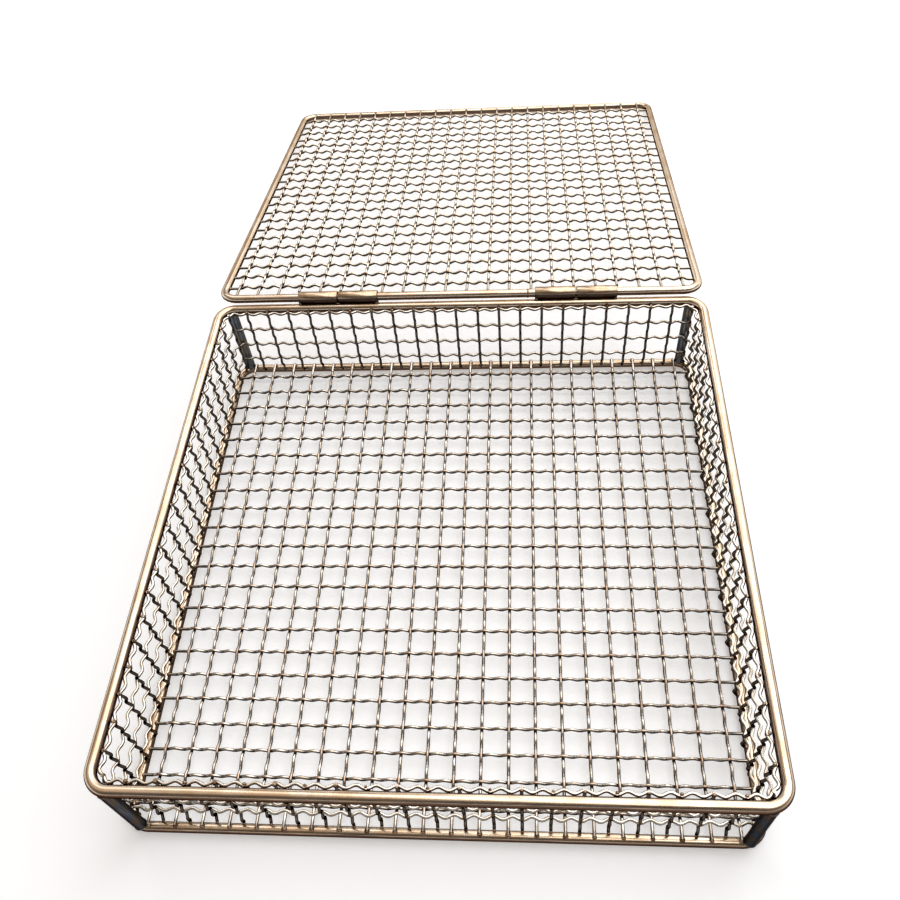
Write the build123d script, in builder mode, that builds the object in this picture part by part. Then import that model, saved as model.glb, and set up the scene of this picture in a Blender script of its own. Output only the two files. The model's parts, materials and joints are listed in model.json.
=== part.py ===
"""Square wire autoclave basket with a hinged mesh lid.

Millimetres. The tray stands on its bottom ring, centred on the origin, with +Z up.
The hinges are at the back (+Y), and the lid lies open behind the tray with its far rod
on the table.
"""
from build123d import *
from math import asin, cos, degrees, floor, radians, sin, sqrt
import os

os.makedirs("parts", exist_ok=True)

# ---- driving dimensions ------------------------------------------------------------
# tray
tray_width = 240.0          # over the rim rod, left to right
tray_depth = 240.0          # over the rim rod, front to back
tray_height = 47.0          # from the table to the top of the rim rod
rim_rod_d = 4.5
ring_rod_d = 4.0            # bottom ring
post_rod_d = 4.5            # corner posts
corner_r = 8.0              # rim rod's bend, to its centre line
post_turn = 18.0            # where a post stands on the corner bend, degrees from the long run

# woven wire
wire_d = 1.3
mesh_pitch = 10.4
edge_gap = 2.8              # least gap between a panel's last wire and the rod beside it
upright_rise = 1.0          # uprights end this far above the rim rod's centre
upright_drop = 0.6          # and this far below the bottom ring's centre

# hinges
sleeve_d = 6.0
sleeve_length = 19.4
sleeve_gap = 0.4            # between the two sleeves of one hinge
hinge_inset = 62.0          # from the tray's side to the middle of the nearer hinge
running_clearance = 0.08    # on the radius, lid rod in sleeve
sleeve_clearance = 0.35     # from the sleeves to the lid wires trimmed beside them

# lid
lid_rod_d = 4.0
lid_side_inset = 1.0        # lid's side rods stand inside the rim rod's centre line
lid_seat_gap = 0.15         # closed lid's rods above the rim rod
lid_mesh_lift = 0.65        # middle of the lid's mesh above the middle of its rods

# welds
weld_bite = 0.025           # depth to which rods and wires that lie on each other sink in
butt_bite = 0.12            # the same where a wire's end meets a rod

# sections
rod_sides = 12              # bent rods, corner to corner over the rod's diameter
wire_sides = 6              # woven wire, flat to flat over the wire's diameter

# ---- places worked out from them ---------------------------------------------------
rim_r = rim_rod_d / 2
ring_r = ring_rod_d / 2
post_r = post_rod_d / 2
wire_r = wire_d / 2
lid_r = lid_rod_d / 2
sleeve_r = sleeve_d / 2

rim_half_x = tray_width / 2 - rim_r
rim_half_y = tray_depth / 2 - rim_r
rim_z = tray_height - rim_r

# rim and bottom ring have their inner sides in one upright plane, where the wall mesh stands
wall_x = rim_half_x - rim_r
wall_y = rim_half_y - rim_r
wall_corner_r = corner_r - rim_r
ring_half_x = wall_x + ring_r
ring_half_y = wall_y + ring_r
ring_corner_r = wall_corner_r + ring_r
ring_z = ring_r

# crossed wires touch: the step from one layer's middle to the other's
layer_step = wire_d - weld_bite

# wall: uprights against the rods, hoops inside the uprights
upright_inset = wire_r - weld_bite
hoop_inset = upright_inset + layer_step
upright_bottom = ring_z - upright_drop
upright_top = rim_z + upright_rise

# floor: long wires (front to back) lie on the bottom ring, cross wires hang under them
floor_long_z = ring_z + ring_r + wire_r - weld_bite
floor_cross_z = floor_long_z - layer_step
floor_mesh_z = (floor_long_z + floor_cross_z) / 2

# hinges: the axis is above the rim by the closed lid's seat, and back until the sleeves meet it
hinge_x = tray_width / 2 - hinge_inset
hinge_z = rim_z + rim_r + lid_seat_gap + lid_r
sleeve_reach = rim_r + sleeve_r - weld_bite
hinge_back = sqrt(sleeve_reach**2 - (hinge_z - rim_z) ** 2)
hinge_y = rim_half_y + hinge_back

# lid frame: its front rod closes over the rim's front rod
lid_length = rim_half_y + hinge_y
lid_half_x = rim_half_x - lid_side_inset
lid_drop = degrees(asin((hinge_z - lid_r) / lid_length))
lid_corner_r = corner_r

# lid plane at rest: origin on the hinge axis, local Y down the open lid, local Z out of it
lid_plane = Plane(
    origin=(0, hinge_y, hinge_z),
    x_dir=(1, 0, 0),
    z_dir=(0, sin(radians(lid_drop)), cos(radians(lid_drop))),
)
lid_long_lift = lid_mesh_lift + layer_step / 2
lid_cross_lift = lid_mesh_lift - layer_step / 2


def wires_in(clear_width):
    """How many wires fit between two rods that stand clear_width apart."""
    return floor((clear_width - wire_d - 2 * edge_gap) / mesh_pitch) + 1


def rod_face(rod_radius, height):
    """Distance from a rod's middle to its surface, level with a height above the middle."""
    return sqrt(rod_radius**2 - height**2)


def welded_end(rod_radius, height):
    """Distance from a rod's middle to the end of a wire that butts against it at a height."""
    nearest = max(abs(height) - wire_r, 0)
    return rod_face(rod_radius, nearest) - butt_bite


floor_long_count = wires_in(2 * (wall_x - 2 * wire_d))
floor_cross_count = wires_in(2 * (wall_y - 2 * wire_d))
front_upright_count = floor_long_count - 1
side_upright_count = floor_cross_count - 1
hoop_count = floor((rim_z - floor_mesh_z) / mesh_pitch) + 1
lid_long_count = wires_in(2 * (lid_half_x - lid_r))
lid_cross_count = wires_in(lid_length - 2 * lid_r)


# ---- bent rods and straight wires ----------------------------------------------------
def closed_rod(section_r, sides, flats, half_x, half_y, bend_r, plane):
    """A rod bent to a rectangle about the plane's origin and welded shut."""
    corners = [(-half_x, -half_y), (half_x, -half_y), (half_x, half_y), (-half_x, half_y)]
    with BuildPart() as rod:
        with BuildLine(plane) as bend:
            FilletPolyline(*corners, radius=bend_r, close=True)
        path = bend.wire()
        with BuildSketch(Plane(origin=path @ 0, x_dir=plane.z_dir, z_dir=path % 0)):
            RegularPolygon(section_r, sides, major_radius=not flats)
        sweep(path=path)
    return rod.part


def wire_row(count, height):
    """Sections of a row of wires at the mesh pitch, on the current sketch's plane."""
    with Locations((0, height)):
        with GridLocations(mesh_pitch, mesh_pitch, count, 1):
            RegularPolygon(wire_r, wire_sides, major_radius=False)


def save(part, name):
    part.label = name
    export_step(part, f"parts/{name}.step")


with BuildPart() as top_rim:
    rim_plane = Plane.XY.offset(rim_z)
    add(closed_rod(rim_r, rod_sides, False, rim_half_x, rim_half_y, corner_r, rim_plane))
save(top_rim.part, "top_rim")

with BuildPart() as bottom_ring:
    ring_plane = Plane.XY.offset(ring_z)
    add(closed_rod(ring_r, rod_sides, False, ring_half_x, ring_half_y, ring_corner_r, ring_plane))
save(bottom_ring.part, "bottom_ring")

# ---- corner posts: upright rods that stand on the bottom ring, under the rim -----------
post_x = rim_half_x - corner_r + corner_r * sin(radians(post_turn))
post_y = rim_half_y - corner_r + corner_r * cos(radians(post_turn))
post_bottom = ring_z + ring_r - weld_bite
post_top = rim_z - rim_r + weld_bite

for name, side_x, side_y in (
    ("corner_post_front_left", -1, -1),
    ("corner_post_front_right", 1, -1),
    ("corner_post_back_left", -1, 1),
    ("corner_post_back_right", 1, 1),
):
    with BuildPart() as corner_post:
        with BuildSketch(Plane.XY.offset(post_bottom)):
            with Locations((side_x * post_x, side_y * post_y)):
                RegularPolygon(post_r, rod_sides)
        extrude(amount=post_top - post_bottom)
    save(corner_post.part, name)

# ---- wall mesh -----------------------------------------------------------------------
upright_length = upright_top - upright_bottom

for side, turn, wall_reach, upright_count in (
    ("front", 0, wall_y, front_upright_count),
    ("right", 90, wall_x, side_upright_count),
    ("back", 180, wall_y, front_upright_count),
    ("left", 270, wall_x, side_upright_count),
):
    with BuildPart() as wall_uprights:
        with BuildSketch(Plane.XY.offset(upright_bottom).rotated((0, 0, turn))):
            wire_row(upright_count, upright_inset - wall_reach)
        extrude(amount=upright_length)
    save(wall_uprights.part, f"wall_uprights_{side}")

# one more upright in the middle of each corner bend
corner_upright_reach = (wall_corner_r - upright_inset) * sin(radians(45))
corner_upright_x = rim_half_x - corner_r + corner_upright_reach
corner_upright_y = rim_half_y - corner_r + corner_upright_reach

with BuildPart() as wall_uprights_corner:
    with BuildSketch(Plane.XY.offset(upright_bottom)):
        with GridLocations(2 * corner_upright_x, 2 * corner_upright_y, 2, 2):
            RegularPolygon(wire_r, wire_sides, major_radius=False)
    extrude(amount=upright_length)
save(wall_uprights_corner.part, "wall_uprights_corner")

hoop_half_x = wall_x - hoop_inset
hoop_half_y = wall_y - hoop_inset
hoop_corner_r = wall_corner_r - hoop_inset

for row in range(hoop_count):
    hoop_plane = Plane.XY.offset(rim_z - row * mesh_pitch)
    with BuildPart() as wall_hoop:
        add(closed_rod(wire_r, wire_sides, True, hoop_half_x, hoop_half_y, hoop_corner_r, hoop_plane))
    save(wall_hoop.part, f"wall_hoop_{row + 1}")

# ---- floor mesh ------------------------------------------------------------------------
with BuildPart() as floor_long_wires:
    with BuildSketch(Plane.XZ.offset(-ring_half_y)):
        wire_row(floor_long_count, floor_long_z)
    extrude(amount=2 * ring_half_y)
save(floor_long_wires.part, "floor_long_wires")

floor_cross_reach = ring_half_x - welded_end(ring_r, floor_cross_z - ring_z)

with BuildPart() as floor_cross_wires:
    with BuildSketch(Plane.YZ.offset(-floor_cross_reach)):
        wire_row(floor_cross_count, floor_cross_z)
    extrude(amount=2 * floor_cross_reach)
save(floor_cross_wires.part, "floor_cross_wires")

# ---- hinge sleeves: two tubes end to end on each side, welded to the rim's back rod ------
sleeve_bore_r = lid_r + running_clearance
sleeve_step = (sleeve_length + sleeve_gap) / 2
hinge_reach = sleeve_gap / 2 + sleeve_length + sleeve_clearance

for name, middle_x in (
    ("hinge_sleeve_left_outer", -hinge_x - sleeve_step),
    ("hinge_sleeve_left_inner", -hinge_x + sleeve_step),
    ("hinge_sleeve_right_inner", hinge_x - sleeve_step),
    ("hinge_sleeve_right_outer", hinge_x + sleeve_step),
):
    with BuildPart() as hinge_sleeve:
        with BuildSketch(Plane(origin=(middle_x, hinge_y, hinge_z), z_dir=(1, 0, 0))):
            Circle(sleeve_r)
            Circle(sleeve_bore_r, mode=Mode.SUBTRACT)
        extrude(amount=sleeve_length / 2, both=True)
    save(hinge_sleeve.part, name)

# ---- lid ---------------------------------------------------------------------------------
lid_middle = Plane(
    origin=lid_plane.from_local_coords((0, lid_length / 2, 0)),
    x_dir=lid_plane.x_dir,
    z_dir=lid_plane.z_dir,
)

lid_long_plane = Plane(origin=lid_middle.origin, x_dir=lid_middle.x_dir, z_dir=-lid_middle.y_dir)
lid_cross_plane = Plane(origin=lid_middle.origin, x_dir=lid_middle.y_dir, z_dir=lid_middle.x_dir)
lid_long_reach = lid_length / 2 - welded_end(lid_r, lid_long_lift)
lid_cross_reach = lid_half_x - welded_end(lid_r, lid_cross_lift)

with BuildPart() as lid_ring:
    add(closed_rod(lid_r, rod_sides, False, lid_half_x, lid_length / 2, lid_corner_r, lid_middle))
save(lid_ring.part, "lid_ring")

with BuildPart() as lid_long_wires:
    with BuildSketch(lid_long_plane.offset(-lid_long_reach)):
        wire_row(lid_long_count, lid_long_lift)
    extrude(amount=2 * lid_long_reach)
    # the wires behind a hinge are trimmed clear of its sleeves
    for middle_x in (-hinge_x, hinge_x):
        with BuildSketch(Plane(origin=(middle_x, hinge_y, hinge_z), z_dir=(1, 0, 0))):
            Circle(sleeve_r + sleeve_clearance)
        extrude(amount=hinge_reach, both=True, mode=Mode.SUBTRACT)
save(lid_long_wires.part, "lid_long_wires")

with BuildPart() as lid_cross_wires:
    with BuildSketch(lid_cross_plane.offset(-lid_cross_reach)):
        wire_row(lid_cross_count, lid_cross_lift)
    extrude(amount=2 * lid_cross_reach)
save(lid_cross_wires.part, "lid_cross_wires")
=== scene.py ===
# %% [markdown]
# # A wire autoclave basket
#
# The basket is a square tray of crimped stainless wire with a mesh lid that turns on the
# tray's back rod. Every part is round metal: bent rods for the rim, the bottom ring and the
# lid's frame, straight rods at the corners, short tubes for the hinges, and three panels of
# crimped wire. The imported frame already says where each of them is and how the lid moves, so
# this lesson only gives them their roundness, their crimp, their welds and their finish.

import json
import math
import random

import bpy
from mathutils import Matrix, Vector


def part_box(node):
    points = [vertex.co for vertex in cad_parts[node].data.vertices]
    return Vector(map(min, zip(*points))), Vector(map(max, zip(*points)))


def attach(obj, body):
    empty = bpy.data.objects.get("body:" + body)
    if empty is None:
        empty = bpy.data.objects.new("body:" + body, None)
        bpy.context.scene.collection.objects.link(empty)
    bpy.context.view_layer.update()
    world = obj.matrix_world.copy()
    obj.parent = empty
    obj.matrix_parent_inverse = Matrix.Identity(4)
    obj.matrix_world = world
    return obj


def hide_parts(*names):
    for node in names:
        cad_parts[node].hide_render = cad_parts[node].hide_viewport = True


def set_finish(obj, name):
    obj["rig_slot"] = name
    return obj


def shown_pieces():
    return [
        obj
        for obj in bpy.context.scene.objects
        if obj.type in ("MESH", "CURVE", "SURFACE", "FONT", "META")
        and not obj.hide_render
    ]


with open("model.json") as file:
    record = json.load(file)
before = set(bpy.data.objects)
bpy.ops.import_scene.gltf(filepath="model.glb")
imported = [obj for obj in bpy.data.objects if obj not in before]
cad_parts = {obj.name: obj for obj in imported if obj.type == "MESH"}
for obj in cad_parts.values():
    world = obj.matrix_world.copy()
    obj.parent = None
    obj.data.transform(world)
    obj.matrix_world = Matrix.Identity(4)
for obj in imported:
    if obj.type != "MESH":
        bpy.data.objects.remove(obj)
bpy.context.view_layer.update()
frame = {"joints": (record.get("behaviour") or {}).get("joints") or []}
random.seed(7)

# %% [markdown]
# ## Sizes
#
# The rim's and the bottom ring's thickness and place are read from the boxes of their CAD
# nodes. What a box can't say is written here: the bends, the slanted lid's rod, the wire and
# the weave.

# %% Read the rods from their boxes
MM = 0.001


def rod_frame(node):
    """A flat frame of round rod: its middle line's half sizes, its height and its radius."""
    low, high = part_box(node)
    radius = (high.z - low.z) / 2
    return high.x - radius, high.y - radius, (high.z + low.z) / 2, radius


def middle_of(node):
    low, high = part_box(node)
    return (low + high) / 2


rim_x, rim_y, rim_z, rim_r = rod_frame("top_rim")
ring_x, ring_y, ring_z, ring_r = rod_frame("bottom_ring")
rim_bend = 8.0 * MM
ring_bend = rim_bend - rim_r + ring_r
print(f"rim rod {2 * rim_r / MM:.1f} mm, bottom ring rod {2 * ring_r / MM:.1f} mm")

# %% The lid's own frame
lid_r = 2.0 * MM
lid_inset = 1.0 * MM
hinge = Vector(frame["joints"][0]["pos_m"])
lid_length = rim_y + hinge.y
lid_x = rim_x - lid_inset
lid_drop = math.asin((hinge.z - lid_r) / lid_length)
lid_place = (
    Matrix.Translation(hinge)
    @ Matrix.Rotation(-lid_drop, 4, "X")
    @ Matrix.Translation((0, lid_length / 2, 0))
)
print(f"lid {lid_length / MM:.1f} mm long, lying at {math.degrees(lid_drop):.1f} degrees")

# %% The weave
pitch = 10.4 * MM           # from wire to wire
wire_r = 0.65 * MM
crimp = 0.62 * MM           # how far a wire swings from the middle of its panel
half_waves = 3              # of the crimp, from one crossing to the next
wires_each_way = 22         # in the floor and in the lid
lid_lift = 0.65 * MM        # the lid's mesh lies this far above the middle of its rods

floor_z = (middle_of("floor_long_wires") + middle_of("floor_cross_wires")).z / 2
upright_y = -middle_of("wall_uprights_front").y
hoop_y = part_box("wall_hoop_2")[1].y - wire_r
wall_y = (upright_y + hoop_y) / 2
print(f"floor mesh at {floor_z / MM:.2f} mm, wall mesh {wall_y / MM:.2f} mm from the middle")

# %% [markdown]
# ## Small helpers
#
# An operator works on whatever is selected, and the frame arrives selected, so every piece
# starts by clearing the selection. A new primitive gets its turn and its place in its mesh at
# once, so that its object stays at the origin.
#
# Each point also remembers where it was on the straight stock, in an attribute named grain.
# Rod and wire are drawn through a die, which leaves fine lines along them, and however the
# stock is bent later, a finish that reads the grain follows those lines.

# %% Start a piece from a primitive
QUARTER_TURN = math.pi / 2
bpy.context.tool_settings.mesh_select_mode = (True, False, False)


def keep_grain(piece, origin=(0, 0, 0)):
    """Marks each point with its place on the straight stock, measured from an origin."""
    attributes = piece.data.attributes
    grain = attributes.get("grain") or attributes.new("grain", "FLOAT_VECTOR", "POINT")
    for point in piece.data.vertices:
        grain.data[point.index].vector = point.co - Vector(origin)


def start(name, primitive, **how):
    """Adds a primitive, names it and moves its place into its mesh."""
    bpy.ops.object.select_all(action="DESELECT")
    primitive(**how)
    piece = bpy.context.object
    piece.name = name
    piece.data.name = name
    bpy.ops.object.transform_apply(location=True, rotation=True, scale=True)
    keep_grain(piece)
    return piece


def edit(piece):
    """Goes into edit mode on one piece with all of it selected."""
    bpy.ops.object.select_all(action="DESELECT")
    piece.select_set(True)
    bpy.context.view_layer.objects.active = piece
    bpy.ops.object.mode_set(mode="EDIT")
    bpy.ops.mesh.select_all(action="SELECT")


def leave():
    bpy.ops.object.mode_set(mode="OBJECT")


# %% Smooth, join and copy
EDGE_ANGLE = math.radians(50)     # an eight-sided wire turns 45 degrees from side to side


def smooth(piece):
    """Round surfaces shade round, and edges sharper than the angle stay edges."""
    bpy.ops.object.select_all(action="DESELECT")
    piece.select_set(True)
    bpy.context.view_layer.objects.active = piece
    bpy.ops.object.shade_smooth_by_angle(angle=EDGE_ANGLE)


def copy_at(piece, place):
    """A copy of a piece with a mesh of its own, moved to a place."""
    copy = piece.copy()
    copy.data = piece.data.copy()
    copy.data.transform(place)
    bpy.context.scene.collection.objects.link(copy)
    return copy


def joined(name, parts):
    """Makes one piece of several."""
    bpy.ops.object.select_all(action="DESELECT")
    for part in parts:
        part.select_set(True)
    bpy.context.view_layer.objects.active = parts[0]
    if len(parts) > 1:
        bpy.ops.object.join()
    piece = bpy.context.view_layer.objects.active
    piece.name = name
    piece.data.name = name
    return piece


def discard(*pieces):
    for piece in pieces:
        bpy.data.objects.remove(piece)


# %% Hand a finished piece to the frame
def finish_piece(piece, body, slot, *nodes):
    """The piece moves with a body, takes a material slot's finish and stands for CAD nodes."""
    smooth(piece)
    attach(piece, body)
    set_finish(piece, slot)
    if nodes:
        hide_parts(*nodes)
    triangles = sum(len(face.vertices) - 2 for face in piece.data.polygons)
    print(f"{piece.name}: {triangles:,} triangles")


# %% [markdown]
# ## Bent rods
#
# The rim, the bottom ring and the lid's frame are each one rod, bent at four corners, with its
# ends butt-welded. It is made as in the workshop: a circle is extruded to a straight rod, with
# rings of points only where it will bend, and the rod is then wrapped round its frame. A curve
# with a bevel would give the same shape, but it wouldn't know its own grain.

# %% The way round a frame
def round_frame(run, half_x, half_y, bend):
    """The point, and the direction outwards, so far along the middle line of a frame.

    The way starts at the left end of the front side and goes on to the right.
    """
    outward = Vector((0, -1, 0))
    spot = Vector((bend - half_x, -half_y, 0))
    for straight in 2 * (2 * (half_x - bend), 2 * (half_y - bend)):
        along = Vector((-outward.y, outward.x, 0))
        if run <= straight:
            return spot + along * run, outward
        centre = spot + along * straight - outward * bend
        run -= straight
        angle = min(run / bend, QUARTER_TURN)
        outward = Matrix.Rotation(angle, 3, "Z") @ outward
        spot = centre + outward * bend
        if angle < QUARTER_TURN:
            return spot, outward
        run -= bend * QUARTER_TURN
    return spot, outward


def length_round(half_x, half_y, bend):
    return 4 * (half_x + half_y - 2 * bend) + 4 * QUARTER_TURN * bend


def wrap(piece, half_x, half_y, bend):
    """Bends a straight piece along X round a frame, closes its ends and sets its faces outwards."""
    whole = length_round(half_x, half_y, bend)
    for point in piece.data.vertices:
        beside, above = point.co.y, point.co.z
        spot, outward = round_frame(point.co.x % whole, half_x, half_y, bend)
        point.co = spot + outward * beside
        point.co.z = above
    edit(piece)
    bpy.ops.mesh.remove_doubles(threshold=MERGE)
    bpy.ops.mesh.normals_make_consistent(inside=False)
    leave()


# %% Bend a rod
ROD_SIDES = 24
BEND_STEPS = 10
MERGE = 0.001 * MM
seam = 0.5 * MM             # of each end of a rod, next to its butt weld


def bent_rod(name, radius, half_x, half_y, bend, weld_x):
    """A round rod bent to a frame about the origin, with its butt weld on the front side."""
    front, side = 2 * (half_x - bend), 2 * (half_y - bend)
    weld_run = front / 2 + weld_x
    bend_steps = BEND_STEPS * [bend * QUARTER_TURN / BEND_STEPS]
    steps = [seam, front - weld_run - seam, *bend_steps]
    for straight in (side, front, side):
        steps += [straight, *bend_steps]
    steps += [weld_run - seam, seam]
    rod = start(
        name,
        bpy.ops.mesh.primitive_circle_add,
        vertices=ROD_SIDES,
        radius=radius,
        fill_type="NOTHING",
        location=(weld_run, 0, 0),
        rotation=(0, QUARTER_TURN, 0),
    )
    edit(rod)
    for step in steps:
        bpy.ops.mesh.extrude_region_move(TRANSFORM_OT_translate={"value": (step, 0, 0)})
    leave()
    keep_grain(rod)
    wrap(rod, half_x, half_y, bend)
    return rod


# %% The three frames of rod
TURN_ROUND = Matrix.Rotation(2 * QUARTER_TURN, 4, "Z")
lid_weld_x = 35.0 * MM
tray_weld_x = 20.0 * MM

top_rim = bent_rod("rim_rod", rim_r, rim_x, rim_y, rim_bend, tray_weld_x)
top_rim.data.transform(Matrix.Translation((0, 0, rim_z)) @ TURN_ROUND)
finish_piece(top_rim, "basket", "polished_rod", "top_rim")

bottom_ring = bent_rod("bottom_ring_rod", ring_r, ring_x, ring_y, ring_bend, -tray_weld_x)
bottom_ring.data.transform(Matrix.Translation((0, 0, ring_z)) @ TURN_ROUND)
finish_piece(bottom_ring, "basket", "polished_rod", "bottom_ring")

lid_ring = bent_rod("lid_rod", lid_r, lid_x, lid_length / 2, rim_bend, lid_weld_x)
lid_ring.data.transform(lid_place)
finish_piece(lid_ring, "lid", "polished_rod", "lid_ring")

# %% [markdown]
# ## Corner posts
#
# Four short rods carry the rim. Each stands on the bottom ring, and a bead of weld fills the
# corner at its foot and its head. A post is a cylinder, and a bead is a thin torus round it
# that is sunk partly into the post.

# %% Posts and their weld beads
BEAD_SIDES = 8
bead_r = 0.4 * MM
bead_from_end = 0.3 * MM    # from a post's end to the middle of its bead
bead_sunk = 0.25 * MM       # from a post's surface in to the bead's middle line
STAND_UP = Matrix(((0, -1, 0, 0), (0, 0, -1, 0), (1, 0, 0, 0), (0, 0, 0, 1)))


def post(name, node):
    """A post, made lying along X with its beads round its ends, and then stood up."""
    low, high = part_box(node)
    radius = (high.x - low.x) / 2
    half = (high.z - low.z) / 2
    rod = start(
        name,
        bpy.ops.mesh.primitive_cylinder_add,
        vertices=ROD_SIDES,
        radius=radius,
        depth=2 * half,
        rotation=(0, QUARTER_TURN, 0),
    )
    rings = [
        start(
            "bead",
            bpy.ops.mesh.primitive_torus_add,
            location=(end * (half - bead_from_end), 0, 0),
            rotation=(0, QUARTER_TURN, 0),
            major_radius=radius - bead_sunk,
            minor_radius=bead_r,
            major_segments=ROD_SIDES,
            minor_segments=BEAD_SIDES,
        )
        for end in (-1, 1)
    ]
    whole = joined(name, [rod, *rings])
    whole.data.transform(Matrix.Translation(middle_of(node)) @ STAND_UP)
    return whole


for corner in ("front_left", "front_right", "back_left", "back_right"):
    node = f"corner_post_{corner}"
    finish_piece(post(f"post_{corner}", node), "basket", "polished_rod", node)

# %% [markdown]
# ## Hinge sleeves
#
# Each hinge is two short tubes, welded to the rim, in which the lid's back rod turns. A tube
# is turned here as on a lathe: a ring of points at the mouth is extruded along the outside,
# stepped in at a small chamfer, and brought back through the bore to where it started.

# %% Turn a sleeve
running_clearance = 0.08 * MM
sleeve_bore = lid_r + running_clearance
sleeve_chamfer = 0.3 * MM
SLEEVE_SIDES = 32


def sleeve(name, node):
    """A tube along X with a chamfer at each mouth."""
    low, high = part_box(node)
    middle = middle_of(node)
    outer = (high.z - low.z) / 2
    length = high.x - low.x
    tube = start(
        name,
        bpy.ops.mesh.primitive_circle_add,
        vertices=SLEEVE_SIDES,
        radius=sleeve_bore,
        fill_type="NOTHING",
        location=(low.x, middle.y, middle.z),
        rotation=(0, QUARTER_TURN, 0),
    )
    edit(tube)
    radius = sleeve_bore
    for step, wanted in (
        (0, outer - sleeve_chamfer),
        (sleeve_chamfer, outer),
        (length - 2 * sleeve_chamfer, outer),
        (sleeve_chamfer, outer - sleeve_chamfer),
        (0, sleeve_bore),
        (-length, sleeve_bore),
    ):
        bpy.ops.mesh.extrude_region_move(TRANSFORM_OT_translate={"value": (step, 0, 0)})
        grow = wanted / radius
        bpy.ops.transform.resize(value=(1, grow, grow))
        radius = wanted
    bpy.ops.mesh.select_all(action="SELECT")
    bpy.ops.mesh.remove_doubles(threshold=MERGE)
    bpy.ops.mesh.normals_make_consistent(inside=False)
    leave()
    keep_grain(tube)
    return tube


sleeve_ends = []
for place in ("left_outer", "left_inner", "right_inner", "right_outer"):
    node = f"hinge_sleeve_{place}"
    finish_piece(sleeve(f"sleeve_{place}", node), "basket", "hinge_tube", node)
    sleeve_ends += [corner.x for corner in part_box(node)]

# %% [markdown]
# ## Crimped wire
#
# The wire is crimped before it is woven, so between two crossings it swings three times. In
# the floor and the lid it passes over one wire and under the next. A straight wire is made, with
# twelve rings of points to a pitch, and pushed through the crimp by a cosine. Each ring leans
# with the slope, so that the wire stays round. It is then cut to length, as a mill does.

# %% A straight wire and its crimp
WIRE_SIDES = 8
RINGS_A_PITCH = 12


def long_edges(piece):
    """Selects the edges that run along X, in edit mode."""
    bpy.ops.mesh.select_all(action="DESELECT")
    leave()
    points = piece.data.vertices
    for edge in piece.data.edges:
        first, last = (points[index].co for index in edge.vertices)
        edge.select = abs(first.x - last.x) > abs(first.y - last.y) + abs(first.z - last.z)
    bpy.ops.object.mode_set(mode="EDIT")


def straight_wire(pitches, caps="NGON"):
    """A straight wire along X, as long as so many pitches, with its middle at the origin."""
    wire = start(
        "wire",
        bpy.ops.mesh.primitive_cylinder_add,
        vertices=WIRE_SIDES,
        radius=wire_r,
        depth=pitches * pitch,
        rotation=(0, QUARTER_TURN, 0),
        end_fill_type=caps,
    )
    bpy.context.tool_settings.mesh_select_mode = (False, True, False)
    edit(wire)
    for cuts in (pitches - 1, RINGS_A_PITCH - 1):
        long_edges(wire)
        bpy.ops.mesh.subdivide(number_cuts=cuts)
    leave()
    bpy.context.tool_settings.mesh_select_mode = (True, False, False)
    return wire


def crimp_wire(wire, crossing, over, last=None, rest=0):
    """Bends a wire up and down its Z.

    It is at its highest at the crossing given if over is 1, and at its lowest if over is -1.
    Beyond its last crossing it goes on to the level that rest says, and stays there. Its
    grain is measured from a crossing, so that a finish can find the crossings too, and an
    attribute named crest holds how high the wire swings there, from -1 to 1.
    """
    keep_grain(wire, (crossing, 0, 0))
    crest = wire.data.attributes.new("crest", "FLOAT", "POINT")
    for point in wire.data.vertices:
        place = point.co.x
        if rest:
            side = math.copysign(last, place)
            level = over * math.cos(half_waves * math.pi * (side - crossing) / pitch)
            stop = last + (0 if level * rest > 0 else pitch / half_waves)
            place = max(-stop, min(stop, place))
        phase = half_waves * math.pi * (place - crossing) / pitch
        height = over * crimp * math.cos(phase)
        crest.data[point.index].value = height / crimp
        lean = math.atan(-over * crimp * math.sin(phase) * half_waves * math.pi / pitch)
        beside = point.co.z
        point.co.x -= beside * math.sin(lean)
        point.co.z = height + beside * math.cos(lean)


def cut(wire, low, high):
    """Cuts a wire to length and closes its ends."""
    edit(wire)
    for place, outward in ((low, -1), (high, 1)):
        bpy.ops.mesh.select_all(action="SELECT")
        bpy.ops.mesh.bisect(
            plane_co=(place, 0, 0), plane_no=(outward, 0, 0), use_fill=True, clear_outer=True
        )
    leave()


# %% [markdown]
# ## Floor and lid panels
#
# A panel is 22 such wires each way. Neighbours start their crimp the other way up, and the
# two directions mirror each other, so whichever wire is over at a crossing finds the other
# one under it. The ends settle at one level: the long wires up, so that they lie on the rod
# at either end, and the cross wires down, so that they meet the rods at the sides.

# %% Weave one direction of a panel
row = [(k - (wires_each_way - 1) / 2) * pitch for k in range(wires_each_way)]
last_crossing = row[-1]
drift = 0.12 * MM           # how far a wire may lie from its true line
skew = math.radians(0.04)


def woven(name, rest, reach, place, turn):
    """Wires of one direction. rest is 1 for long wires and -1 for cross wires.

    reach gives where a wire's two ends are, from its place in the row. With a turn they run
    along the panel's Y, and else along its X.
    """
    ready = {}
    wires = []
    for k, side in enumerate(row):
        over = rest * (1 if k % 2 == 0 else -1)
        ends = reach(side)
        if (over, ends) not in ready:
            wire = straight_wire(wires_each_way + 1)
            crimp_wire(wire, row[0], over, last_crossing, rest)
            cut(wire, *ends)
            ready[over, ends] = wire
        wander = Matrix.Rotation(random.uniform(-skew, skew), 4, "Z")
        across = side + random.uniform(-drift, drift)
        if turn:
            shift = Matrix.Translation((across, 0, 0)) @ Matrix.Rotation(QUARTER_TURN, 4, "Z")
        else:
            shift = Matrix.Translation((0, across, 0))
        wires.append(copy_at(ready[over, ends], place @ shift @ wander))
    discard(*ready.values())
    return joined(name, wires)


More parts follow.
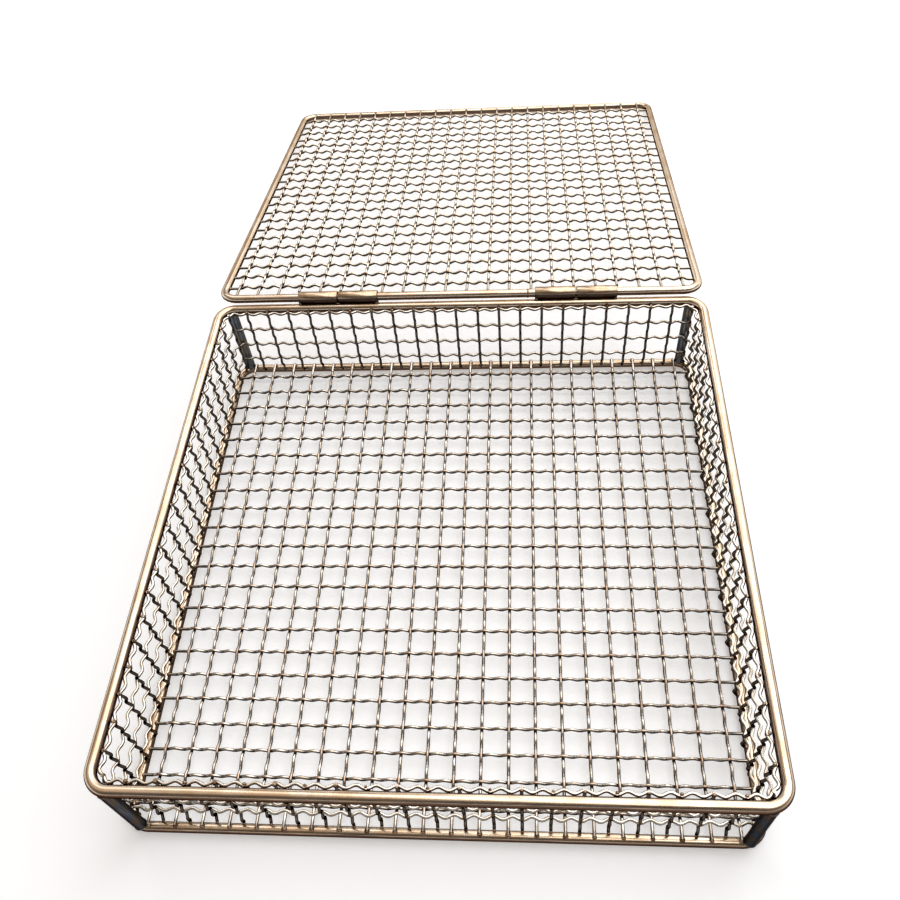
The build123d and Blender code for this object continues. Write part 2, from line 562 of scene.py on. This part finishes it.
# %% The floor
floor_place = Matrix.Translation((0, 0, floor_z))
weld_bite = 0.2 * MM        # how far a wire's end is melted into its rod
cross_end = ring_x - math.sqrt(ring_r**2 - (floor_z - crimp - ring_z) ** 2) + weld_bite

floor_long = woven("floor_long", 1, lambda side: (-ring_y, ring_y), floor_place, True)
finish_piece(floor_long, "basket", "mesh_wire", "floor_long_wires")

floor_cross = woven("floor_cross", -1, lambda side: (-cross_end, cross_end), floor_place, False)
finish_piece(floor_cross, "basket", "mesh_wire", "floor_cross_wires")

# %% The lid
lid_mesh_place = lid_place @ Matrix.Translation((0, 0, lid_lift))
lid_long_bite = 0.35 * MM
lid_cross_bite = 0.25 * MM
sleeve_outer = 3.0 * MM     # the radius of a sleeve
hinge_gap = 0.45 * MM       # from a sleeve to the wire that stops behind it
lid_long_end = lid_length / 2 - math.sqrt(lid_r**2 - (lid_lift + crimp) ** 2) + lid_long_bite
lid_cross_end = lid_x - lid_r + lid_cross_bite
behind_hinge = lid_length / 2 - (sleeve_outer + hinge_gap)
hinge_low, hinge_high = min(map(abs, sleeve_ends)), max(map(abs, sleeve_ends))


def lid_long_reach(side):
    """A wire behind a hinge stops short of its sleeves."""
    near = behind_hinge if hinge_low - wire_r < abs(side) < hinge_high + wire_r else lid_long_end
    return -near, lid_long_end


lid_long = woven("lid_long", 1, lid_long_reach, lid_mesh_place, True)
finish_piece(lid_long, "lid", "mesh_wire", "lid_long_wires")

lid_cross = woven(
    "lid_cross", -1, lambda side: (-lid_cross_end, lid_cross_end), lid_mesh_place, False
)
finish_piece(lid_cross, "lid", "mesh_wire", "lid_cross_wires")

# %% [markdown]
# ## Wall
#
# The wall is one strip of the same crimped wire, bent round inside the rods. Its uprights are
# short wires, one between every two of the floor's wires, and one in each corner. At the foot
# they lean out onto the bottom ring. Its hoops are made straight, crimped, and then wrapped
# round the tray. A known fault is left here: an upright and a hoop swing the same way where
# they cross, so they run through each other and not one over the other.

# %% Uprights
upright_low = ring_z + 1.3 * MM      # each is cut off just under the top of the bottom ring
upright_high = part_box("wall_uprights_front")[1].z
upright_count = wires_each_way - 1
upright_row = [(k - (upright_count - 1) / 2) * pitch for k in range(upright_count)]
UPRIGHT_PITCHES = 5
upright_middle = rim_z + pitch / 2 - UPRIGHT_PITCHES * pitch / 2
foot_bend = 12.0 * MM       # below this height an upright leans out to the bottom ring
foot_y = ring_y - math.sqrt((ring_r + wire_r - weld_bite) ** 2 - (upright_low - ring_z) ** 2)


def upright(over):
    """An upright along X, crimped towards Z, with the wall's rows of hoops at its crossings."""
    wire = straight_wire(UPRIGHT_PITCHES)
    wire.data.transform(Matrix.Translation((upright_middle, 0, 0)))
    crimp_wire(wire, rim_z, over)
    foot_swing = over * crimp * math.cos(half_waves * math.pi * (upright_low - rim_z) / pitch)
    for point in wire.data.vertices:
        part = max(0, (foot_bend - point.co.x) / (foot_bend - upright_low))
        point.co.z += (foot_y - wall_y - foot_swing) * part**2
    cut(wire, upright_low, upright_high)
    return wire


uprights = {over: upright(over) for over in (1, -1)}
for side, turn in (("front", 0), ("right", 1), ("back", 2), ("left", 3)):
    wires = []
    for k, along in enumerate(upright_row):
        shift = Matrix.Translation((along + random.uniform(-drift, drift), -wall_y, 0))
        place = Matrix.Rotation(turn * QUARTER_TURN, 4, "Z") @ shift @ STAND_UP
        wires.append(copy_at(uprights[1 if k % 2 == 0 else -1], place))
    node = f"wall_uprights_{side}"
    finish_piece(joined(f"uprights_{side}", wires), "basket", "mesh_wire", node)

# %% Corner uprights
wall_bend = rim_bend - (rim_y - wall_y)
bend_centre = wall_y - wall_bend
wires = []
for turn in range(4):
    swing = Matrix.Rotation(turn * QUARTER_TURN + QUARTER_TURN / 2, 4, "Z")
    out = Matrix.Translation((0, -math.sqrt(2) * bend_centre - wall_bend, 0))
    wires.append(copy_at(uprights[-1], swing @ out @ STAND_UP))
discard(*uprights.values())
finish_piece(joined("uprights_corner", wires), "basket", "mesh_wire", "wall_uprights_corner")

# %% Wrap a straight wire round the tray
bend_length = wall_bend * QUARTER_TURN
side_length = 2 * bend_centre + bend_length
side_crossings = upright_count + 1
first_gap = (side_length - (upright_count - 1) * pitch) / 2     # beside a corner's upright


def wall_run(crossing):
    """How far round the wall a crossing is. The first is at the front left corner's upright."""
    turn, step = divmod(crossing, side_crossings)
    if step < 1:
        length = step * first_gap
    elif step > upright_count:
        length = side_length - (side_crossings - step) * first_gap
    else:
        length = first_gap + (step - 1) * pitch
    return turn * side_length + length - bend_length / 2


def hoop(over):
    """A wire round the wall, swung out at its corners' uprights if over is 1, or else in."""
    crossings = 4 * side_crossings
    wire = straight_wire(crossings, caps="NOTHING")
    wire.data.transform(Matrix.Translation((crossings * pitch / 2, 0, 0)))
    crimp_wire(wire, 0, over)
    wire.data.transform(Matrix.Rotation(-QUARTER_TURN, 4, "X"))
    for point in wire.data.vertices:
        point.co.x = wall_run(point.co.x / pitch)
    wrap(wire, wall_y, wall_y, wall_bend)
    return wire


for number in range(1, 5):
    node = f"wall_hoop_{number}"
    low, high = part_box(node)
    wire = hoop(1 if number % 2 == 0 else -1)
    wire.data.transform(Matrix.Translation((0, 0, (low.z + high.z) / 2)))
    finish_piece(joined(f"hoop_{number}", [wire]), "basket", "mesh_wire", node)

# %% [markdown]
# ## Welds
#
# The wires' ends are melted to the rods that they meet, and each hinge sleeve is tacked to the
# rim at both ends. The lid's wires that stop behind a hinge, and the uprights in the corners,
# have no bead. A weld is a small round bead, flatter than it is wide. One bead with few faces
# is modelled, and a copy is pressed over each end.

# %% Beads
bead = start(
    "bead", bpy.ops.mesh.primitive_uv_sphere_add, segments=10, ring_count=6, radius=1.0 * MM
)
weld_beads = []
bead_lift = 0.1 * MM        # of a floor bead's middle above the ring's top or its wire
bead_inset = 0.2 * MM       # of a bead's middle from its wire's end, and from a head outwards
lid_bead_inset = 0.1 * MM
foot_bead_out = 0.5 * MM    # of a foot's bead, on towards the middle of the bottom ring


def beads(name, body, spots, size, place=Matrix.Identity(4)):
    """A bead over each spot, with half its size in millimetres each way, give or take a little."""
    made = []
    for spot in spots:
        swell = random.uniform(0.85, 1.15)
        shape = Matrix.Diagonal((size[0] * swell, size[1] * swell, size[2] * swell, 1))
        made.append(copy_at(bead, place @ Matrix.Translation(spot) @ shape))
    weld_beads.append(joined(name, made))
    finish_piece(weld_beads[-1], body, "polished_rod")


# %% Welds of the floor
ring_top = ring_z + ring_r
beads(
    "floor_long_welds",
    "basket",
    [(side, end * ring_y, ring_top + bead_lift) for side in row for end in (-1, 1)],
    (1.0, 1.2, 0.75),
)
cross_weld_x = cross_end - bead_inset
cross_weld_z = floor_z - crimp + bead_lift
beads(
    "floor_cross_welds",
    "basket",
    [(end * cross_weld_x, side, cross_weld_z) for side in row for end in (-1, 1)],
    (0.7, 0.95, 0.8),
)

# %% Welds of the wall
upright_ends = []
for turn in range(4):
    swing = Matrix.Rotation(turn * QUARTER_TURN, 3, "Z")
    for along in upright_row:
        foot = Vector((along, -foot_y - foot_bead_out, upright_low))
        head = Vector((along, -wall_y - bead_inset, upright_high - bead_inset))
        upright_ends += [swing @ foot, swing @ head]
beads("upright_welds", "basket", upright_ends, (0.7, 0.7, 0.65))

# %% Welds of the lid
lid_cross_weld_x = lid_cross_end - lid_bead_inset
beads(
    "lid_cross_welds",
    "lid",
    [(end * lid_cross_weld_x, side, -crimp) for side in row for end in (-1, 1)],
    (0.8, 0.85, 0.7),
    lid_mesh_place,
)
beads(
    "lid_long_welds",
    "lid",
    [
        (side, end, crimp)
        for side in row
        for end in lid_long_reach(side)
        if abs(end) == lid_long_end
    ],
    (0.75, 0.8, 0.7),
    lid_mesh_place,
)
beads("lid_rod_weld", "lid", [(lid_weld_x, -lid_length / 2, 0)], (1.5, 2.1, 2.1), lid_place)

# %% Tack welds of the hinge sleeves
tack_inset = 0.6 * MM       # of a tack from its sleeve's mouth
tack_offset = 1.25 * MM     # of a tack from where sleeve and rim touch, on either side
hinge_x = (hinge_low + hinge_high) / 2
rim_line = Vector((0, rim_y, rim_z))
towards_sleeve = (hinge - rim_line).normalized()
beside_contact = Vector((0, -towards_sleeve.z, towards_sleeve.y))
tacks = []
for end in sleeve_ends:
    inward = math.copysign(tack_inset, hinge_x - abs(end)) * math.copysign(1, end)
    contact = rim_line + towards_sleeve * rim_r + Vector((end + inward, 0, 0))
    tacks += [contact + beside_contact * offset for offset in (-tack_offset, tack_offset)]
beads("sleeve_welds", "basket", tacks, (0.8, 0.62, 0.62))
discard(bead)

# %% [markdown]
# ## Finishes
#
# All of it is stainless steel that has been through many hot cycles. It has a straw tint that
# is deeper in some places than in others. Shade is painted into its colour as well: the faces
# turned up or down keep the bright steel, while the flanks of every rod and wire are painted a
# dark brown, a painted shade for the dark that their sides reflect. So the finish is built in
# layers. Patches of noise mix the bright steel with the straw tint, the height of the surface's
# normal mixes in the painted shade, and noise stretched along the grain draws fine lines into the
# colour, the roughness and the bump.
#
# The pieces differ in a few ways. A wire takes a reddish-brown tint near its crossings, and more
# of the painted shade in its troughs. On the rods the painted shade thins out towards the back.
# The hinge tubes carry the painted shade below as well as on their flanks. The corner posts are
# painted a dark slate all over, a painted reflection of dark surroundings.

# %% Nodes for a finish
def link(tree, source, target):
    tree.links.new(source, target)


def add_node(tree, kind, **values):
    """Adds a node. A value sets its property of that name or else its socket of that name."""
    made = tree.nodes.new(kind)
    for name, value in values.items():
        if hasattr(made, name):
            setattr(made, name, value)
        else:
            made.inputs[name.replace("_", " ")].default_value = value
    return made


def noise(tree, coordinates, stretch, scale, detail):
    """A noise with its own stretch along X, Y and Z."""
    mapping = add_node(tree, "ShaderNodeMapping", Scale=stretch)
    link(tree, coordinates, mapping.inputs["Vector"])
    made = add_node(tree, "ShaderNodeTexNoise", Scale=scale, Detail=detail)
    link(tree, mapping.outputs["Vector"], made.inputs["Vector"])
    return made.outputs["Fac"]


def spread(tree, value, low, high, to_low, to_high, kind="SMOOTHSTEP"):
    """Maps one range of a value to another."""
    made = add_node(tree, "ShaderNodeMapRange", interpolation_type=kind)
    for name, number in (("From Min", low), ("From Max", high), ("To Min", to_low), ("To Max", to_high)):
        made.inputs[name].default_value = number
    link(tree, value, made.inputs["Value"])
    return made.outputs["Result"]


def calculate(tree, operation, first, second):
    made = add_node(tree, "ShaderNodeMath", operation=operation)
    for socket, value in zip(made.inputs, (first, second)):
        if isinstance(value, float):
            socket.default_value = value
        else:
            link(tree, value, socket)
    return made.outputs["Value"]


def mixed(tree, factor, first, second, blend="MIX"):
    """A mix of two colours, each a colour or a socket."""
    made = add_node(tree, "ShaderNodeMix", data_type="RGBA", blend_type=blend)
    link(tree, factor, made.inputs["Factor"])
    for name, colour in (("A", first), ("B", second)):
        socket = next(s for s in made.inputs if s.name == name and s.type == "RGBA")
        if isinstance(colour, tuple):
            socket.default_value = (*colour, 1)
        else:
            link(tree, colour, socket)
    return next(s for s in made.outputs if s.type == "RGBA")


# %% Build a steel
EDGE_TINT = (0.10, 0.06, 0.04)      # of a reflection at a grazing angle
CROSSING_TINT = (0.48, 0.25, 0.13)
CROSSING_SHARE = 0.6                   # of the tint, right at a crossing
crossing_tint_reach = (0.4 * MM, 1.2 * MM)  # from a crossing: the tint begins to fade, and is gone
PATCH_EDGE = (0.42, 0.62)           # levels of the noise between which bright becomes straw
PATCH_SHIFT = 0.3                   # how far the patches make the painted shade's edge ragged
LINES_A_METRE = 2600                # across the grain
LINE_STRETCH = 0.03                 # how much slower the noise changes along the grain
LINE_EDGE = (0.35, 0.65)            # levels of the noise between which a line takes its tint
LINE_SHARE = 0.55                   # of that tint
LINE_RANGE = (0.3, 0.7)             # levels of the noise from glossy to dull
LINE_STRENGTH = 0.15                # of the lines' bump
line_depth = 0.03 * MM
CREST_RANGE = (-0.9, 0.1)           # how far up or down the crimp a face looks
CREST_SHADE_SHIFT = (-0.30, 0.04)         # and how that shifts the edge of its painted shade


def steel(
    name, bright, straw, painted_shade, polished, patch, gloss,
    crossings=False, trough_shade=False, bright_underside=True, back=0.0,
):
    """A steel with shade painted into its colour.

    bright and straw are its colours, and the third colour is its painted shade. The pair of
    heights that follows says between which heights of the normal the colour changes from the
    painted shade to the steel, patch is the size of a patch of straw, and gloss is the
    roughness between and on the drawn lines. crossings gives a wire a reddish-brown tint where
    others cross it. Two switches follow: the first paints more shade into a wire's troughs, and
    the second keeps what is turned down bright as well. back says how much the painted shade
    thins out towards the back.
    """
    material = bpy.data.materials.new(name)
    material.use_nodes = True
    tree = material.node_tree
    shader = tree.nodes["Principled BSDF"]
    shader.inputs["Metallic"].default_value = 1.0
    shader.inputs["Specular Tint"].default_value = (*EDGE_TINT, 1)
    surface = add_node(tree, "ShaderNodeTexCoord")
    grain = add_node(tree, "ShaderNodeAttribute", attribute_name="grain").outputs["Vector"]

    patches = noise(tree, surface.outputs["Object"], (1, 1, 1), 1 / patch, 3)
    colour = mixed(tree, spread(tree, patches, *PATCH_EDGE, 0, 1), bright, straw)
    # a reddish-brown tint near each crossing, deepest right at it
    if crossings:
        along = add_node(tree, "ShaderNodeSeparateXYZ")
        link(tree, grain, along.inputs["Vector"])
        from_crossing = calculate(tree, "PINGPONG", along.outputs["X"], pitch / 2)
        crossing_tint_share = spread(tree, from_crossing, *crossing_tint_reach, CROSSING_SHARE, 0)
        colour = mixed(tree, crossing_tint_share, colour, CROSSING_TINT)

    lines = noise(tree, grain, (LINE_STRETCH, 1, 1), LINES_A_METRE, 2)
    colour = mixed(tree, spread(tree, lines, *LINE_EDGE, 0, LINE_SHARE), colour, straw, "MULTIPLY")

    # painted shade: the height of each face's normal decides how much of the painted dark brown it
    # takes, so the flanks of a rod or wire are painted dark, and the faces turned up, and down unless a
    # steel says otherwise, stay bright
    facing = add_node(tree, "ShaderNodeSeparateXYZ")
    link(tree, surface.outputs["Normal"], facing.inputs["Vector"])
    up_or_down = facing.outputs["Z"]
    if bright_underside:
        up_or_down = calculate(tree, "ABSOLUTE", up_or_down, 0.0)
    ragged = calculate(tree, "MULTIPLY", patches, PATCH_SHIFT)
    level = calculate(tree, "ADD", up_or_down, ragged)
    place = add_node(tree, "ShaderNodeSeparateXYZ")
    link(tree, surface.outputs["Object"], place.inputs["Vector"])
    # painted shade: a wire's troughs are given more of the painted dark brown
    if trough_shade:
        crest = add_node(tree, "ShaderNodeAttribute", attribute_name="crest").outputs["Fac"]
        reached = calculate(tree, "MULTIPLY", crest, facing.outputs["Z"])
        shift = spread(tree, reached, *CREST_RANGE, *CREST_SHADE_SHIFT)
        level = calculate(tree, "ADD", level, shift)
    # painted shade: on a rod it thins out towards the back, so that the back of the tray is painted
    # brighter
    lighter_towards_back = spread(tree, place.outputs["Y"], rim_y / 3, rim_y, 0, back)
    level = calculate(tree, "ADD", level, lighter_towards_back)
    shaded_level, bright_level = (height + PATCH_SHIFT / 2 for height in polished)
    shown = spread(tree, level, shaded_level, bright_level, 0, 1)
    colour = mixed(tree, shown, painted_shade, colour)
    link(tree, colour, shader.inputs["Base Color"])

    dull = spread(tree, lines, *LINE_RANGE, *gloss)
    link(tree, dull, shader.inputs["Roughness"])
    relief = add_node(tree, "ShaderNodeBump", Strength=LINE_STRENGTH, Distance=line_depth)
    link(tree, lines, relief.inputs["Height"])
    link(tree, relief.outputs["Normal"], shader.inputs["Normal"])
    return material


# the third colour of each steel below is its painted shade, and the pair of heights after it is where
# that painted shade gives way to the steel
rod_steel = steel(
    "rod_steel",
    bright=(0.93, 0.81, 0.67),
    straw=(0.80, 0.64, 0.48),
    painted_shade=(0.100, 0.060, 0.042),
    polished=(0.54, 0.86),
    patch=14 * MM,
    gloss=(0.16, 0.30),
    back=0.30,
)
# painted reflection: the corner posts are painted a dark slate all over, standing for the dark
# surroundings that their steel reflects
post_steel = steel(
    "post_steel",
    bright=(0.15, 0.17, 0.20),
    straw=(0.20, 0.175, 0.15),
    painted_shade=(0.07, 0.065, 0.065),
    polished=(-0.6, -0.1),
    patch=9 * MM,
    gloss=(0.26, 0.42),
)
wire_steel = steel(
    "wire_steel",
    bright=(0.99, 0.95, 0.88),
    straw=(0.62, 0.54, 0.45),
    painted_shade=(0.080, 0.066, 0.055),
    polished=(0.52, 0.88),
    patch=3.5 * MM,
    gloss=(0.14, 0.26),
    crossings=True,
    trough_shade=True,
)
hoop_steel = steel(
    "hoop_steel",
    bright=(0.99, 0.97, 0.93),
    straw=(0.84, 0.78, 0.69),
    painted_shade=(0.080, 0.064, 0.052),
    polished=(0.40, 0.82),
    patch=3.5 * MM,
    gloss=(0.14, 0.26),
    crossings=True,
)
lid_steel = steel(
    "lid_steel",
    bright=(0.94, 0.87, 0.76),
    straw=(0.70, 0.61, 0.49),
    painted_shade=(0.075, 0.058, 0.046),
    polished=(0.42, 0.82),
    patch=3.5 * MM,
    gloss=(0.14, 0.26),
    crossings=True,
    trough_shade=True,
)
# painted shade: a hinge tube is painted dark below as well as on its flanks
tube_steel = steel(
    "tube_steel",
    bright=(0.86, 0.72, 0.55),
    straw=(0.62, 0.47, 0.33),
    painted_shade=(0.060, 0.040, 0.030),
    polished=(0.36, 0.66),
    patch=7 * MM,
    gloss=(0.20, 0.34),
    bright_underside=False,
)
weld_steel = steel(
    "weld_steel",
    bright=(0.55, 0.41, 0.29),
    straw=(0.22, 0.13, 0.08),
    painted_shade=(0.07, 0.045, 0.032),
    polished=(0.0, 0.7),
    patch=2.5 * MM,
    gloss=(0.25, 0.42),
)

# %% Give every piece its steel
finishes = {"polished_rod": rod_steel, "mesh_wire": wire_steel, "hinge_tube": tube_steel}
own_finishes = {
    "post": post_steel,
    "hoop": hoop_steel,
    "lid_long": lid_steel,
    "lid_cross": lid_steel,
}
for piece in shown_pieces():
    finish = finishes[piece["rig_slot"]]
    for beginning, own_finish in own_finishes.items():
        if piece.name.startswith(beginning):
            finish = own_finish
    piece.data.materials.clear()
    piece.data.materials.append(weld_steel if piece in weld_beads else finish)

# %% [markdown]
# ## Table, light and camera
#
# The basket stands on a table of plain white paper. To the camera, and in every reflection,
# the table glows, less near the basket than further off, so that it is white at any distance
# and still takes the basket's shadow. Close to the horizon the room is white too, above that it
# is a brown wall, and overhead a pale ceiling. The wall in front of the basket is darker than
# the others. Polished metal shows all of it, which gives a rod its bright and dark stripes.

# %% Table
glow_reach = (0.25, 0.9)    # metres from the middle between which the glow grows
GLOW = (0.30, 1.0)          # its strength there
table = start("table", bpy.ops.mesh.primitive_plane_add, size=12)
paper = bpy.data.materials.new("white_table")
paper.use_nodes = True
paper_tree = paper.node_tree
paper_shader = paper_tree.nodes["Principled BSDF"]
paper_shader.inputs["Base Color"].default_value = (0.83, 0.86, 0.90, 1)
paper_shader.inputs["Roughness"].default_value = 0.9
rays = add_node(paper_tree, "ShaderNodeLightPath").outputs
seen = calculate(paper_tree, "MAXIMUM", rays["Is Camera Ray"], rays["Is Glossy Ray"])
seen = calculate(paper_tree, "MAXIMUM", seen, rays["Is Transmission Ray"])
from_middle = add_node(paper_tree, "ShaderNodeVectorMath", operation="LENGTH")
place = add_node(paper_tree, "ShaderNodeTexCoord").outputs["Object"]
link(paper_tree, place, from_middle.inputs[0])
glow = spread(paper_tree, from_middle.outputs["Value"], *glow_reach, *GLOW)
glow = calculate(paper_tree, "MULTIPLY", seen, glow)
link(paper_tree, glow, paper_shader.inputs["Emission Strength"])
paper_shader.inputs["Emission Color"].default_value = (1, 1, 1, 1)
table.data.materials.append(paper)

# %% Room
# heights are those of a direction, from 0 at the horizon to 1 straight up
HORIZON = (0.21, 0.32)      # where the white fades into the wall
WALL_HEIGHT = 0.60
CEILING_HEIGHT = 0.85
WHITE = (1.0, 1.0, 1.0)
WALL_FOOT = (0.15, 0.105, 0.075)
WALL_TOP = (0.22, 0.165, 0.12)
CEILING = (0.60, 0.50, 0.40)
FRONT_WALL = (0.05, 0.042, 0.036)
FRONT_EDGE = (-0.55, -0.10)         # along Y, where the front wall is whole and where it ends
FRONT_SHARE = 0.85
world = bpy.data.worlds.new("room")
bpy.context.scene.world = world
world.use_nodes = True
room_tree = world.node_tree
direction = add_node(room_tree, "ShaderNodeSeparateXYZ")
looking = add_node(room_tree, "ShaderNodeTexCoord").outputs["Generated"]
link(room_tree, looking, direction.inputs["Vector"])
walls = add_node(room_tree, "ShaderNodeValToRGB")
stripes = walls.color_ramp.elements
stripes[0].position, stripes[0].color = HORIZON[0], (*WHITE, 1)
stripes[1].position, stripes[1].color = HORIZON[1], (*WALL_FOOT, 1)
stripes.new(WALL_HEIGHT).color = (*WALL_TOP, 1)
stripes.new(CEILING_HEIGHT).color = (*CEILING, 1)
link(room_tree, direction.outputs["Z"], walls.inputs["Fac"])
in_front = spread(room_tree, direction.outputs["Y"], *FRONT_EDGE, 1, 0)
above_horizon = spread(room_tree, direction.outputs["Z"], *HORIZON, 0, FRONT_SHARE)
dark = calculate(room_tree, "MULTIPLY", in_front, above_horizon)
room = mixed(room_tree, dark, walls.outputs["Color"], FRONT_WALL)
link(room_tree, room, room_tree.nodes["Background"].inputs["Color"])

# %% Light
lit_spot = Vector((0, 0.1, 0.02))


def softbox(name, where, size, power):
    """A wide lamp that looks at the lit spot."""
    lamp = bpy.data.lights.new(name, "AREA")
    lamp.shape = "RECTANGLE"
    lamp.size, lamp.size_y = size
    lamp.energy = power
    lamp.color = (1.0, 1.0, 1.0)
    rig = bpy.data.objects.new(name, lamp)
    rig.location = where
    rig.rotation_euler = (lit_spot - Vector(where)).to_track_quat("-Z", "Y").to_euler()
    bpy.context.scene.collection.objects.link(rig)


softbox("key_light", (0.45, 0.35, 1.30), (1.9, 1.6), 15)
softbox("window_light", (0.75, 1.45, 0.95), (2.2, 1.1), 10)
softbox("back_light", (-0.85, 1.10, 1.20), (0.8, 0.8), 3)

# %% Camera
camera_place = (32.914 * MM, -209.402 * MM, 352.701 * MM)
camera_data = bpy.data.cameras.new("camera")
camera_data.sensor_width = 36
camera_data.lens = 36.396
camera = bpy.data.objects.new("camera", camera_data)
turn_left = math.radians(7.6395)
look_down = math.radians(52.0747)
roll = math.radians(-6.4222)
camera.matrix_world = (
    Matrix.Translation(camera_place)
    @ Matrix.Rotation(turn_left, 4, "Z")
    @ Matrix.Rotation(QUARTER_TURN - look_down, 4, "X")
    @ Matrix.Rotation(roll, 4, "Z")
)
bpy.context.scene.collection.objects.link(camera)
bpy.context.scene.camera = camera
bpy.context.scene.view_settings.view_transform = "Standard"
